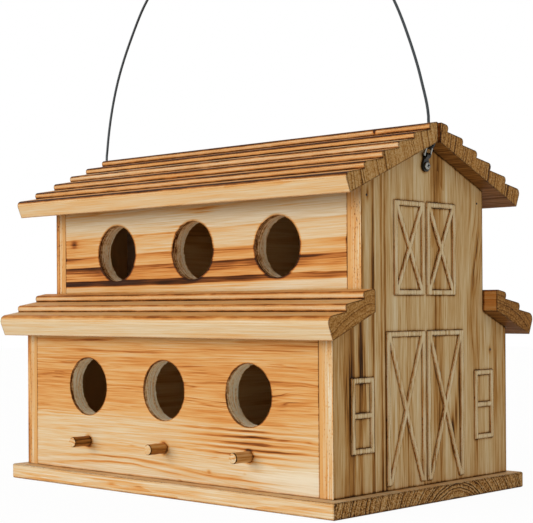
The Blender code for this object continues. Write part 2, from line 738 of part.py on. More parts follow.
def strap_screw(side):
    """Round-headed screw through the strap into the gable."""
    sign = SIDES[side]
    seat = SEAT + 2 * STRAP_SHEET + SEAT
    shank = SCREW_SHANK_DIAMETER / 2
    head = SCREW_HEAD_DIAMETER / 2
    profile = [(0, -SCREW_LENGTH), (shank * 0.4, -SCREW_LENGTH), (shank, -SCREW_LENGTH + 2 * shank),
               (shank, seat), (head, seat)]
    steps = 4
    for step in range(1, steps):
        angle = math.pi / 2 * step / steps
        profile.append((head * math.cos(angle), seat + SCREW_HEAD_RISE * math.sin(angle)))
    profile.append((0, seat + SCREW_HEAD_RISE))
    screw = turned(
        "strap_screw_" + side, profile, SMALL_SIDES, (sign, 0, 0),
        (sign * HALF_LENGTH, 0, screw_height()), black_steel())
    smooth(screw)


def eye_centre(side):
    """Middle of the wire's eye, with the ring's bow held in the bottom of it."""
    axis = ring_axis(side)
    tilt = RING_TILT[side]
    bow = axis + Vector((SIDES[side] * math.sin(tilt), 0, math.cos(tilt))) * RING_HEIGHT
    lift = (EYE_INNER_DIAMETER - RING_WIRE) / 2 - SEAT
    return bow + Vector((0, 0, lift))


def eye_points(side):
    """Wire round the eye, from its cut end to where the leg leaves it."""
    sign = SIDES[side]
    centre = eye_centre(side)
    radius = (EYE_INNER_DIAMETER + WIRE_DIAMETER) / 2
    points = []
    steps = 20
    start, end = math.radians(62), math.radians(-212)
    for step in range(steps + 1):
        angle = start + (end - start) * step / steps
        points.append(centre + Vector((sign * radius * math.cos(angle), 0, radius * math.sin(angle))))
    return points


def smooth_path(route, spacing):
    """Points along a smooth curve through the route, about a spacing apart."""
    gaps = [(after - before).length for before, after in zip(route, route[1:])]
    runs = [(after - before) / gap for before, after, gap in zip(route, route[1:], gaps)]
    middles = [
        (run * next_gap + next_run * gap) / (gap + next_gap)
        for run, next_run, gap, next_gap in zip(runs, runs[1:], gaps, gaps[1:])]
    slopes = [runs[0]] + middles + [runs[-1]]
    points = []
    for i, gap in enumerate(gaps):
        steps = max(1, round(gap / spacing))
        for step in range(steps):
            t = step / steps
            rise = t * t * (3 - 2 * t)
            points.append(
                route[i] * (1 - rise) + route[i + 1] * rise
                + slopes[i] * gap * t * (1 - t) ** 2 - slopes[i + 1] * gap * t * t * (1 - t))
    points.append(route[-1])
    return points


def leg_route(side):
    """Route of the wire from its eye to the crown, all in the ridge's plane."""
    sign = SIDES[side]
    wide_x = HALF_LENGTH + WIRE_SPREAD[side]
    exit_z = RIDGE_HEIGHT + WIRE_EXIT_HEIGHT
    route = [Vector((sign * wide_x, 0, exit_z))]
    for inset, rise in WIRE_SHOULDER[side]:
        route.append(Vector((sign * (wide_x - inset), 0, exit_z + rise)))
    return route


def hanging_wire():
    """Stiff bent wire from ring to ring, coming up through the ridge slots."""
    right, left = leg_route("right"), leg_route("left")
    middle_x = (right[0].x + left[0].x) / 2
    crown = Vector((middle_x, 0, RIDGE_HEIGHT + WIRE_EXIT_HEIGHT + WIRE_CROWN_HEIGHT))
    right_eye, left_eye = eye_points("right"), eye_points("left")
    route = right_eye[-2:] + right + [crown] + list(reversed(left)) + list(reversed(left_eye[-2:]))
    arch = smooth_path(route, WIRE_POINT_SPACING)
    points = right_eye[:-2] + arch + list(reversed(left_eye[:-2]))
    wire_curve("hanging_wire", points, WIRE_DIAMETER, False, black_steel())


def build():
    """Make the whole birdhouse."""
    clear_scene()
    base_board()
    for side in SIDES:
        gable_panel(side)
    for front in FRONTS:
        lower_wall(front)
        upper_wall(front)
    upper_floor()
    lower_partitions()
    upper_partitions()
    lower_roofs()
    upper_roofs()
    perches()
    for side in SIDES:
        strap_hanger(side)
        ring(side)
        strap_screw(side)
    hanging_wire()


build()
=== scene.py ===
import json
import math
import bpy
from mathutils import Matrix, Vector


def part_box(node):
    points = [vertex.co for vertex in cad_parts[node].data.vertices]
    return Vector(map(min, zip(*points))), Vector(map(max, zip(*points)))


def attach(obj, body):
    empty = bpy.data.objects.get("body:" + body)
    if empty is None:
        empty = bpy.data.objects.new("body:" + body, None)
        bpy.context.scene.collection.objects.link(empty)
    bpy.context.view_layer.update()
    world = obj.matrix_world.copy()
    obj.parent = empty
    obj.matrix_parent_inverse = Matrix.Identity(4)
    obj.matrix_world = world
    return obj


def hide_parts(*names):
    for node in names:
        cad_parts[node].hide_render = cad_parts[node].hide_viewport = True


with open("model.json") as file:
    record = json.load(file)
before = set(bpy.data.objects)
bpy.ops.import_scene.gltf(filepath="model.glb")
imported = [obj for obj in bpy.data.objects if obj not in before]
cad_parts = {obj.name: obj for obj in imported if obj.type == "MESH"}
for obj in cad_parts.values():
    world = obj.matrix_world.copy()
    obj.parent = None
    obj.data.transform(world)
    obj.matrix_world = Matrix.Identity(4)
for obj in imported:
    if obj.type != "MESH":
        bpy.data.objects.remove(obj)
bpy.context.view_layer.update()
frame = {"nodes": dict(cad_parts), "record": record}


# Studio
# A white paper sweep under and behind the house, which stays white to the camera and
# keeps a faint shadow. One large soft lamp stands in front and to the left, and the pale
# room fills the rest, so the gable end lies in soft shade.
FLOOR_HALF_WIDTH = 3.0
FLOOR_DROP = 0.0006
PAPER_WHITE = "F6F5F2"
PAPER_SHOWN_AS_WHITE = 0.97
ROOM_FILL = "FFFAF0"
ROOM_LEVEL = 0.50
KEY_LEVEL = 2.1
KEY_SOFTNESS = math.radians(38)
KEY_AROUND = math.radians(-24)
KEY_ABOVE = math.radians(12)


def linear(hex_colour):
    """An sRGB hex colour as the linear RGBA that a node socket takes."""
    parts = [int(hex_colour[i:i + 2], 16) / 255 for i in (0, 2, 4)]
    return [p / 12.92 if p <= 0.04045 else ((p + 0.055) / 1.055) ** 2.4 for p in parts] + [1.0]


def add(tree, kind, inputs=None, stops=(), **settings):
    """Adds a shader node with its settings, fills or links its inputs, and sets a ramp's stops.
    Returns its outputs. Sockets go by number where their names repeat or are long: a Map Range's
    1 to 4 are From Min, From Max, To Min and To Max, and a Mix's 6 and 7 are its two colours."""
    made = tree.nodes.new("ShaderNode" + kind)
    for name, value in settings.items():
        setattr(made, name, value)
    for socket, value in (inputs or {}).items():
        if isinstance(value, bpy.types.NodeSocket):
            tree.links.new(value, made.inputs[socket])
        else:
            made.inputs[socket].default_value = value
    for i, (position, colour) in enumerate(stops):
        stop = made.color_ramp.elements[i] if i < 2 else made.color_ramp.elements.new(position)
        stop.position = position
        stop.color = colour
    return made.outputs


def new_material(name):
    """An empty node material, its tree, and the socket that its shader goes into."""
    material = bpy.data.materials.new(name)
    material.use_nodes = True
    material.node_tree.nodes.clear()
    output = material.node_tree.nodes.new("ShaderNodeOutputMaterial")
    return material, material.node_tree, output.inputs["Surface"]


def seen_as_background(tree):
    """1 for rays from the camera, a mirror or glass, and 0 for light that falls on the object."""
    path = add(tree, "LightPath")
    either = add(tree, "Math", {0: path["Is Camera Ray"], 1: path["Is Glossy Ray"]}, operation="MAXIMUM")[0]
    return add(tree, "Math", {0: either, 1: path["Is Transmission Ray"]}, operation="MAXIMUM")[0]


bpy.ops.object.select_all(action="DESELECT")
bpy.ops.mesh.primitive_plane_add(size=2 * FLOOR_HALF_WIDTH, location=(0, 0, -FLOOR_DROP))
floor = bpy.context.object
floor.name = "floor"
# Coated white paper: matt and even, with no grain to be seen at this distance.
paper, tree, surface = new_material("white_paper_sweep")
matt = add(tree, "BsdfDiffuse", {"Color": linear(PAPER_WHITE)})[0]
glow = add(tree, "Emission", {"Color": (1, 1, 1, 1), "Strength": 1.0})[0]
share = add(tree, "Math", {0: seen_as_background(tree), 1: PAPER_SHOWN_AS_WHITE}, operation="MULTIPLY")[0]
tree.links.new(add(tree, "MixShader", {0: share, 1: matt, 2: glow})[0], surface)
floor.data.materials.append(paper)

room = bpy.data.worlds.new("pale_room")
bpy.context.scene.world = room
room.use_nodes = True
room.node_tree.nodes.clear()
tree = room.node_tree
fill = add(tree, "Background", {"Color": linear(ROOM_FILL), "Strength": ROOM_LEVEL})[0]
white = add(tree, "Background", {"Color": (1, 1, 1, 1), "Strength": 1.0})[0]
sky = add(tree, "MixShader", {0: seen_as_background(tree), 1: fill, 2: white})[0]
tree.links.new(sky, tree.nodes.new("ShaderNodeOutputWorld").inputs["Surface"])

key_light = bpy.data.lights.new("key_light", "SUN")
key_light.energy = KEY_LEVEL
key_light.angle = KEY_SOFTNESS
key = bpy.data.objects.new("key_light", key_light)
bpy.context.scene.collection.objects.link(key)
towards_key = Vector((math.sin(KEY_AROUND) * math.cos(KEY_ABOVE),
                      -math.cos(KEY_AROUND) * math.cos(KEY_ABOVE), math.sin(KEY_ABOVE)))
key.rotation_euler = towards_key.to_track_quat("Z", "Y").to_euler()

# The camera stands level with the middle of the house, off its right front corner. The
# upward shift keeps the uprights parallel, as in the photograph.
IMAGE_WIDTH = 533
IMAGE_HEIGHT = 523
SENSOR_WIDTH = 36
CAMERA_PLACE = (0.73976, -0.77404, 0.13821)
CAMERA_TURN = math.radians(43.342)
CAMERA_TILT = math.radians(90.088)
CAMERA_ROLL = math.radians(-0.351)
FOCAL_PIXELS = 1370
HORIZON_ROW = 303.0
lens = bpy.data.cameras.new("camera")
lens.sensor_width = SENSOR_WIDTH
lens.lens = FOCAL_PIXELS / IMAGE_WIDTH * SENSOR_WIDTH
lens.shift_y = (HORIZON_ROW - IMAGE_HEIGHT / 2) / IMAGE_WIDTH
camera = bpy.data.objects.new("camera", lens)
bpy.context.scene.collection.objects.link(camera)
camera.location = CAMERA_PLACE
camera.rotation_euler = (Matrix.Rotation(CAMERA_TURN, 3, "Z") @ Matrix.Rotation(CAMERA_TILT, 3, "X")
                         @ Matrix.Rotation(CAMERA_ROLL, 3, "Z")).to_euler()
bpy.context.scene.camera = camera
bpy.context.scene.view_settings.view_transform = "Standard"


# Base board
# One plain-sawn fir board under the whole house, cut square and nailed up from below.
# A torch has passed over it, so the arrises and the growth rings of its ends are brown.
MM = 0.001
# Fir under a torch: pale where the flame only passed, honey and orange where it stayed, and
# char on thin edges. The colours go by the depth of the scorch.
SCORCH = [(0.0, "E6D8BE"), (0.2, "DCC29A"), (0.4, "DAA768"), (0.56, "CF8A45"),
          (0.70, "A9622A"), (0.84, "6A3914"), (1.0, "341A08")]
# Painted shade: a yellower copy of the colours for the faces at the house's ends and undersides, which lie in shade.
SHADED_SIDE_SCORCH = [(0.0, "EFDCB8"), (0.2, "E2C595"), (0.4, "D0A870"), (0.56, "BC8848"),
              (0.70, "94632E"), (0.84, "5E3B1A"), (1.0, "2A1808")]
# The marks of the grain, in millimetres. Veins come and go in patches as wide as the streaks.
STREAK_WIDTH = 9.0
STREAK_LENGTH = 150.0
VEIN_GAP = 2.6
VEIN_LENGTH = 110.0
VEIN_THICKNESS = 0.06
DRIFT_WIDTH = 38.0
SHIVER_LENGTH = 26.0
SHIVER_WIDTH = 6.0
# Year rings drift by up to this many gaps, and each is drawn between faint and strong.
YEARS_UNEVEN = 2.2
FAINTEST_YEAR = 0.25
YEAR_SPREAD = 0.9
# How much the fine fibres count beside the coarse bundles, and how much more the fibres show
# on end grain, where their pores are cut open.
FINE_SHARE = 3.4
END_PORES = 0.6
ARRIS_BURN_WIDTH = 1.6
# How far the painted shade in the corners reaches, in millimetres.
CORNER_SHADE_REACH = 2.2
PATCH_LENGTH = 14.0
PATCH_WIDTH = 5.0
GRAIN_RELIEF = 0.25
BARE_WOOD_SPECULAR = 0.06


def band_tone(tree, where, bands):
    """The tone that a list of (place, tone) bands gives at a place, blended from band to band."""
    low, high = bands[0][0], bands[-1][0]
    share = add(tree, "MapRange", {0: where, 1: low, 2: high})[0]
    stops = [((place - low) / (high - low), (tone + 0.5,) * 3 + (1,)) for place, tone in bands]
    shade = add(tree, "ValToRGB", {0: share}, stops=stops)[0]
    return add(tree, "Math", {0: shade, 1: 0.5}, operation="SUBTRACT")[0]


def torched_fir(name, grain, pith, ring_gap, ring_depth=0.2, ring_edge=3.0, base_tone=0.34, slope=0.0,
                wander=4.0, wander_length=170.0, ripple=1.2, streaks=0.2, veins=0.14, fibres=0.3,
                fibre=(42, 0.9), bundle=(150, 1.4), zones=(), lifts=(), spots=(), arris=0.55, corner=0.35,
                end_tone=0.25, end_rings=1.0, colours=SCORCH, roughness=0.55, own=None):
    """Torch-scorched fir: one number says how deep the scorch went, and a ramp of browns shows it.
    grain is the axis that the fibres run along. Sizes are millimetres: pith is the tree's middle
    as (across, into) the board, ring_gap the year rings' spacing, and fibre and bundle the length
    and width of fibre bundles, drawn as coarse as they need to show. zones are (across, tone) pairs
    that shade the board from edge to edge. lifts are (along, across, length, width, lift) swells that
    bend the grain, and spots (along, across, length, width, tone) are knots and darker places.
    own is a function that shades what only this piece has."""
    material, tree, surface = new_material(name)
    place = add(tree, "TexCoord")
    mm = add(tree, "VectorMath", {0: place["Object"], "Scale": 1 / MM}, operation="SCALE")[0]
    x, y, z = add(tree, "SeparateXYZ", {0: mm})
    along, across, into = {"X": (x, z, y), "Z": (z, y, x), "Y": (y, z, x)}[grain]
    level = add(tree, "Math", {0: along, 1: -slope, 2: across}, operation="MULTIPLY_ADD")[0]
    board = add(tree, "CombineXYZ", {0: along, 1: level, 2: into})[0]

    def cloud(length, width, detail, shift, output="Fac"):
        """Noise stretched along the board. The shift only keeps one cloud unlike another."""
        scaled = add(tree, "VectorMath", {0: board, 1: (1 / length, 1 / width, 1 / width), 2: (shift, shift, shift)},
                     operation="MULTIPLY_ADD")[0]
        return add(tree, "TexNoise", {"Vector": scaled, "Scale": 1.0, "Detail": detail, "Roughness": 0.55})[output]

    # The grain wanders along the board, ripples, and swells past knots.
    drift = add(tree, "VectorMath", {0: cloud(wander_length, DRIFT_WIDTH, 2, 3.7, "Color"), 1: (0.5, 0.5, 0.5)},
                operation="SUBTRACT")[0]
    bent = add(tree, "VectorMath", {0: drift, 1: (0, wander * 2, wander * 2), 2: board}, operation="MULTIPLY_ADD")[0]
    shiver = add(tree, "VectorMath", {0: cloud(SHIVER_LENGTH, SHIVER_WIDTH, 1, 9.1, "Color"), 1: (0.5, 0.5, 0.5)},
                 operation="SUBTRACT")[0]
    bent = add(tree, "VectorMath", {0: shiver, 1: (0, ripple, ripple), 2: bent}, operation="MULTIPLY_ADD")[0]

    def swell(where, a, c, length, width):
        """1 at the place (a along, c across), falling to 0 over the length and width."""
        off = add(tree, "VectorMath", {0: where, 1: (a, c, 0)}, operation="SUBTRACT")[0]
        off = add(tree, "VectorMath", {0: off, 1: (1 / length, 1 / width, 0)}, operation="MULTIPLY")[0]
        square = add(tree, "VectorMath", {0: off, 1: off}, operation="DOT_PRODUCT")["Value"]
        fall = add(tree, "Math", {0: square, 1: -1.0}, operation="MULTIPLY")[0]
        return add(tree, "Math", {0: fall}, operation="EXPONENT")[0]

    for a, c, length, width, lift in lifts:
        push = add(tree, "CombineXYZ", {1: swell(board, a, c, length, width)})[0]
        bent = add(tree, "VectorMath", {0: push, 1: (0, -lift, 0), 2: bent}, operation="MULTIPLY_ADD")[0]
    bent_across = add(tree, "SeparateXYZ", {0: bent})["Y"]

    # Year rings: pale spring wood that darkens to a sharp line, each year a little different.
    spoke = add(tree, "VectorMath", {0: bent, 1: (0, *pith)}, operation="SUBTRACT")[0]
    spoke = add(tree, "VectorMath", {0: spoke, 1: (0, 1, 1)}, operation="MULTIPLY")[0]
    radius = add(tree, "VectorMath", {0: spoke}, operation="LENGTH")["Value"]
    years = add(tree, "Math", {0: radius, 1: ring_gap}, operation="DIVIDE")[0]
    uneven = add(tree, "TexNoise", {"W": years, "Scale": 0.45, "Detail": 1.0}, noise_dimensions="1D")["Fac"]
    years = add(tree, "Math", {0: uneven, 1: YEARS_UNEVEN, 2: years}, operation="MULTIPLY_ADD")[0]
    season = add(tree, "Math", {0: years}, operation="FRACT")[0]
    line = add(tree, "Math", {0: season, 1: ring_edge}, operation="POWER")[0]
    year = add(tree, "Math", {0: years}, operation="FLOOR")[0]
    weight = add(tree, "TexWhiteNoise", {"W": year}, noise_dimensions="1D")["Value"]
    weight = add(tree, "Math", {0: weight, 1: YEAR_SPREAD, 2: FAINTEST_YEAR}, operation="MULTIPLY_ADD")[0]
    rings = add(tree, "Math", {0: line, 1: weight}, operation="MULTIPLY")[0]

    # Thin resin veins, fibres in two sizes, and the torch's own streaks.
    vein_place = add(tree, "VectorMath", {0: bent, 1: (1 / VEIN_LENGTH, 1 / VEIN_GAP, 1 / VEIN_GAP)},
                     operation="MULTIPLY")[0]
    vein = add(tree, "TexNoise", {"Vector": vein_place, "Scale": 1.0, "Detail": 1.0})["Fac"]
    vein = add(tree, "Math", {0: vein, 1: 0.5}, operation="SUBTRACT")[0]
    vein = add(tree, "Math", {0: vein}, operation="ABSOLUTE")[0]
    vein = add(tree, "MapRange", {0: vein, 1: 0.0, 2: VEIN_THICKNESS, 3: 1.0, 4: 0.0})[0]
    faint = add(tree, "MapRange", {0: cloud(VEIN_LENGTH, STREAK_WIDTH, 2, 7.7), 1: 0.40, 2: 0.62})[0]
    vein = add(tree, "Math", {0: vein, 1: faint}, operation="MULTIPLY")[0]
    fine = add(tree, "Math", {0: cloud(*fibre, 3, 1.3), 1: 0.5}, operation="SUBTRACT")[0]
    coarse = add(tree, "Math", {0: cloud(*bundle, 3, 6.1), 1: 0.5}, operation="SUBTRACT")[0]
    fibre_tone = add(tree, "Math", {0: fine, 1: FINE_SHARE, 2: coarse}, operation="MULTIPLY_ADD")[0]
    streak = add(tree, "MapRange", {0: cloud(STREAK_LENGTH, STREAK_WIDTH, 3, 5.9), 1: 0.45, 2: 0.70},
                 interpolation_type="SMOOTHSTEP")[0]
    facing = add(tree, "SeparateXYZ", {0: place["Normal"]})
    end = add(tree, "Math", {0: facing[grain]}, operation="ABSOLUTE")[0]
    end = add(tree, "MapRange", {0: end, 1: 0.6, 2: 0.9})[0]
    depth = add(tree, "Math", {0: end, 1: end_rings * ring_depth, 2: ring_depth}, operation="MULTIPLY_ADD")[0]
    marks = add(tree, "Math", {0: vein, 1: veins}, operation="MULTIPLY")[0]
    marks = add(tree, "Math", {0: streak, 1: streaks, 2: marks}, operation="MULTIPLY_ADD")[0]
    long_grain = add(tree, "Math", {0: 1.0, 1: end}, operation="SUBTRACT")[0]
    tone = add(tree, "Math", {0: rings, 1: depth, 2: base_tone}, operation="MULTIPLY_ADD")[0]
    pores = add(tree, "Math", {0: end, 1: fibres * END_PORES, 2: fibres}, operation="MULTIPLY_ADD")[0]
    tone = add(tree, "Math", {0: fibre_tone, 1: pores, 2: tone}, operation="MULTIPLY_ADD")[0]
    tone = add(tree, "Math", {0: marks, 1: long_grain, 2: tone}, operation="MULTIPLY_ADD")[0]
    tone = add(tree, "Math", {0: end, 1: end_tone, 2: tone}, operation="MULTIPLY_ADD")[0]

    if zones:
        shade = band_tone(tree, bent_across, zones)
        strength = add(tree, "MapRange", {0: cloud(90, 25, 2, 4.4), 1: 0.3, 2: 0.7, 3: 0.7, 4: 1.3})[0]
        tone = add(tree, "Math", {0: shade, 1: strength, 2: tone}, operation="MULTIPLY_ADD")[0]
    for a, c, length, width, deeper in spots:
        spot = swell(bent, a, c, length, width)
        tone = add(tree, "Math", {0: spot, 1: deeper, 2: tone}, operation="MULTIPLY_ADD")[0]

    # Every arris is scorched brown, unevenly.
    eased = add(tree, "Bevel", {"Radius": ARRIS_BURN_WIDTH * MM}, samples=4)[0]
    flat = add(tree, "NewGeometry")["Normal"]
    same = add(tree, "VectorMath", {0: eased, 1: flat}, operation="DOT_PRODUCT")["Value"]
    burn = add(tree, "MapRange", {0: same, 1: 0.99, 2: 0.88})[0]
    patchy = add(tree, "MapRange", {0: cloud(PATCH_LENGTH, PATCH_WIDTH, 3, 2.2), 1: 0.34, 2: 0.60, 3: 0.5, 4: 1.0})[0]
    burn = add(tree, "Math", {0: burn, 1: patchy}, operation="MULTIPLY")[0]
    tone = add(tree, "Math", {0: burn, 1: arris, 2: tone}, operation="MULTIPLY_ADD")[0]
    # Painted shade in the corners: darker where nearby faces close a place in. corner sets how much.
    if corner:
        open_sky = add(tree, "AmbientOcclusion", {"Distance": CORNER_SHADE_REACH * MM}, samples=6)["AO"]
        corner_shade = add(tree, "MapRange", {0: open_sky, 1: 0.95, 2: 0.35})[0]
        corner_shade = add(tree, "Math", {0: corner_shade, 1: patchy}, operation="MULTIPLY")[0]
        tone = add(tree, "Math", {0: corner_shade, 1: corner, 2: tone}, operation="MULTIPLY_ADD")[0]
    if own:
        tone = own(tree, tone, {"mm": mm, "eased": eased, "patchy": patchy, "fibre": fibre_tone,
                                "facing": place["Normal"], "burn": burn})

    # Painted shade: the front takes the lit colours, and the ends and undersides the yellower shaded copy.
    front = add(tree, "ValToRGB", {0: tone}, stops=[(at, linear(shade)) for at, shade in colours])[0]
    side = add(tree, "ValToRGB", {0: tone}, stops=[(at, linear(shade)) for at, shade in SHADED_SIDE_SCORCH])[0]
    endways = add(tree, "Math", {0: facing["X"]}, operation="ABSOLUTE")[0]
    downwards = add(tree, "MapRange", {0: facing["Z"], 1: -0.6, 2: -0.9})[0]
    endways = add(tree, "Math", {0: endways, 1: downwards}, operation="MAXIMUM")[0]
    colour = add(tree, "Mix", {0: endways, 6: front, 7: side}, data_type="RGBA")[2]
    # Scorched wood is dull, with a shallow relief where the soft spring wood has burnt back.
    relief = add(tree, "Math", {0: fibre_tone, 1: 0.6, 2: rings}, operation="MULTIPLY_ADD")[0]
    bump = add(tree, "Bump", {"Strength": 0.5, "Distance": GRAIN_RELIEF * MM, "Height": relief})[0]
    shine = add(tree, "Math", {0: fibre_tone, 1: 0.25, 2: roughness}, operation="MULTIPLY_ADD")[0]
    wood = add(tree, "BsdfPrincipled", {"Base Color": colour, "Roughness": shine, "Normal": bump,
                                        "Specular IOR Level": BARE_WOOD_SPECULAR})
    tree.links.new(wood[0], surface)
    return material


def finish_node(node, material):
    """Gives a CAD node its material."""
    slots = frame["nodes"][node].data.materials
    slots.clear()
    slots.append(material)


finish_node("base_board", torched_fir(
    "base_board_fir", "X", pith=(-34, 24), ring_gap=2.9, ring_depth=0.22, base_tone=0.20, streaks=0.14, arris=1.3,
    lifts=[(160, 6, 400, 40, 4)], spots=[(-48, 2, 4.5, 1.4, 0.16), (-17, 2, 5.0, 1.6, 0.12)],
    end_tone=0.26, end_rings=3.8))


# Gable panels
# Each end of the house is one upright board with the barn's whole outline. Loft doors, barn
# doors and windows are milled proud of its face, and torch streaks run down with the grain.
STRIP_RISE = 1.2
STRIP_TONE = 0.03
# The plumb edges run between a pale and a dark line tone, with flecks. Those of the left panel
# are a little smoked towards its outer face.
EDGE_LINE_PALE = -0.01
EDGE_LINE_DARK = 0.71
EDGE_FLECKS = 0.6
EDGE_SMOKE = 0.30
# The inner face's even, darker tone is painted shade.
INNER_SHADE_TONE = 0.45
GABLE_ZONES = [(-100, 0.12), (-90, 0.16), (-80, 0.42), (-76, 0.02), (-71, 0.38), (-66, -0.08), (-61, 0.0),
               (-58.2, 0.50), (-57.2, 0.46), (-56.2, -0.06), (-51, 0.06), (-48, 0.40), (-47, -0.08), (-44.5, 0.44),
               (-43.3, 0.08), (-38, -0.04), (-32, -0.10), (-22, 0.0), (-18, 0.14), (-11, -0.10), (0, 0.0),
               (11, 0.18), (20, 0.22), (24, -0.06), (40, 0.08), (50, -0.06), (60, 0.14), (66, 0.04), (76, -0.06),
               (88, 0.12), (100, 0.14)]
GABLE_SPOTS = [(212, -64, 5, 1.3, 0.45), (212, 63, 4, 1.0, 0.40), (104, 80, 3, 1.6, 0.35), (52, 80, 5, 1.2, 0.35),
               (224, 14, 20, 5, 0.22), (196, 50, 22, 1.2, 0.30), (210, 44, 18, 1.0, 0.28),
               (170, 58, 26, 1.0, 0.20), (150, 66, 30, 1.2, 0.16), (46, 31.5, 14, 3.0, 0.75),
               (56, 27, 10, 1.3, 0.50), (60, 36, 12, 1.3, 0.50), (80, 40, 24, 1.0, 0.40), (104, -70, 26, 4, 0.30),
               (60, -78, 30, 3, 0.22), (180, 62, 40, 6, 0.08), (72, -81.5, 24, 1.3, 0.45),
               (72, -66.5, 24, 1.1, 0.40), (120, 12, 40, 1.2, 0.26), (40, -30, 40, 1.2, 0.24),
               (66, 4, 50, 1.0, 0.22), (130, -12, 40, 1.0, 0.20), (40, 62, 30, 1.2, 0.24), (95, 66, 26, 1.2, 0.20)]
# The face of the board itself, as its distance from the middle in millimetres.
gable_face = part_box("gable_panel_right")[1].x / MM - STRIP_RISE


def sanded_strips(tree, tone, parts):
    """The strips of the doors and windows stand proud, so sanding has taken their scorch off again.
    The board's plumb edges are pale and finely lined, and its inner face gets painted shade: an even, darker brown."""
    x = add(tree, "SeparateXYZ", {0: parts["mm"]})["X"]
    out = add(tree, "Math", {0: x}, operation="ABSOLUTE")[0]
    plumb = add(tree, "Math", {0: add(tree, "SeparateXYZ", {0: parts["facing"]})["Y"]}, operation="ABSOLUTE")[0]
    plumb = add(tree, "MapRange", {0: plumb, 1: 0.7, 2: 0.95, 3: 0.0, 4: 0.85})[0]
    lines = add(tree, "VectorMath", {0: parts["mm"], 1: (1.1, 1.0, 0.02)}, operation="MULTIPLY")[0]
    lines = add(tree, "TexNoise", {"Vector": lines, "Scale": 1.0, "Detail": 2.0})["Fac"]
    lines = add(tree, "MapRange", {0: lines, 1: 0.35, 2: 0.75, 3: EDGE_LINE_PALE, 4: EDGE_LINE_DARK})[0]
    flecks = add(tree, "VectorMath", {0: parts["mm"], 1: (1.5, 1.0, 0.45)}, operation="MULTIPLY")[0]
    flecks = add(tree, "TexNoise", {"Vector": flecks, "Scale": 1.0, "Detail": 2.0})["Fac"]
    flecks = add(tree, "MapRange", {0: flecks, 1: 0.60, 2: 0.70, 3: 0.0, 4: EDGE_FLECKS})[0]
    edge = add(tree, "Math", {0: lines, 1: flecks}, operation="ADD")[0]
    outer = add(tree, "MapRange", {0: x, 1: 3.5 - gable_face, 2: 5.0 - gable_face, 3: EDGE_SMOKE, 4: 0.0})[0]
    edge = add(tree, "Math", {0: edge, 1: outer}, operation="ADD")[0]
    change = add(tree, "Math", {0: edge, 1: tone}, operation="SUBTRACT")[0]
    tone = add(tree, "Math", {0: change, 1: plumb, 2: tone}, operation="MULTIPLY_ADD")[0]
    # Painted shade on the inner face, where little light comes into the house.
    inner_shade = add(tree, "MapRange", {0: out, 1: gable_face - 5, 2: gable_face - 11})[0]
    change = add(tree, "Math", {0: INNER_SHADE_TONE, 1: tone}, operation="SUBTRACT")[0]
    tone = add(tree, "Math", {0: change, 1: inner_shade, 2: tone}, operation="MULTIPLY_ADD")[0]
    proud = add(tree, "MapRange", {0: out, 1: gable_face + 0.55 * STRIP_RISE, 2: gable_face + 0.9 * STRIP_RISE})[0]
    sanded = add(tree, "Math", {0: parts["fibre"], 1: 0.8, 2: STRIP_TONE}, operation="MULTIPLY_ADD")[0]
    change = add(tree, "Math", {0: sanded, 1: tone}, operation="SUBTRACT")[0]
    kept = add(tree, "Math", {0: parts["burn"], 1: -0.75, 2: 0.85}, operation="MULTIPLY_ADD")[0]
    share = add(tree, "Math", {0: proud, 1: kept}, operation="MULTIPLY")[0]
    return add(tree, "Math", {0: change, 1: share, 2: tone}, operation="MULTIPLY_ADD")[0]


for side, mirror in (("right", 1), ("left", -1)):
    finish_node(f"gable_panel_{side}", torched_fir(
        f"gable_fir_{side}", "Z", pith=(14, -60 * mirror), ring_gap=2.6, ring_depth=0.14, base_tone=0.19,
        streaks=0.10, fibres=0.26, veins=0.26, fibre=(24, 0.9), bundle=(160, 1.5), wander=1.8, wander_length=260,
        ripple=0.5, zones=GABLE_ZONES, lifts=[(215, 60, 40, 20, 12), (130, 60, 40, 20, -4)], spots=GABLE_SPOTS,
        end_tone=0.1, arris=0.85, corner=1.0, own=sanded_strips))


# Walls
# Four fir boards stand between the gables, their top edges sawn to the roofs' slopes. Each has
# three entrances cut with a hole saw, which leaves torn bores and charred rims.
ENTRANCE_RADIUS = 21.75 * MM
PERCH_SOCKET_RADIUS = 3.8 * MM
PERCH_SOCKET_DEPTH = 8.3 * MM
ROOF_PITCH = {"lower": math.radians(22.5), "upper": math.radians(23.0)}
SAW_PAST = 2.0 * MM
BORE_SIDES = 96
BORE_SLICES = 14
SOCKET_SIDES = 32
SMOOTH_BELOW = math.radians(40)
TOOTH_MARK = 0.45 * MM
TOOTH_MARK_SIZE = 1.6 * MM
BREAK_OUT = 0.7 * MM
SAW_RING_PITCH = 0.8
SAW_RING_LENGTH = 14.0
BORE_CHAR = {"lower": (2.6, 0.11), "upper": (5.5, 0.17)}
# Torn end grain: pale and dusty where it is fresh, and brown to black where the saw ran hot.
BORE_TONES = [(0.0, "FFF4DC"), (0.25, "FFE0B0"), (0.45, "E2B682"), (0.65, "A06A38"), (0.82, "5E3A1A"),
              (1.0, "301C0C")]
tooth_marks = bpy.data.textures.new("tooth_marks", "CLOUDS")
tooth_marks.noise_scale = TOOTH_MARK_SIZE


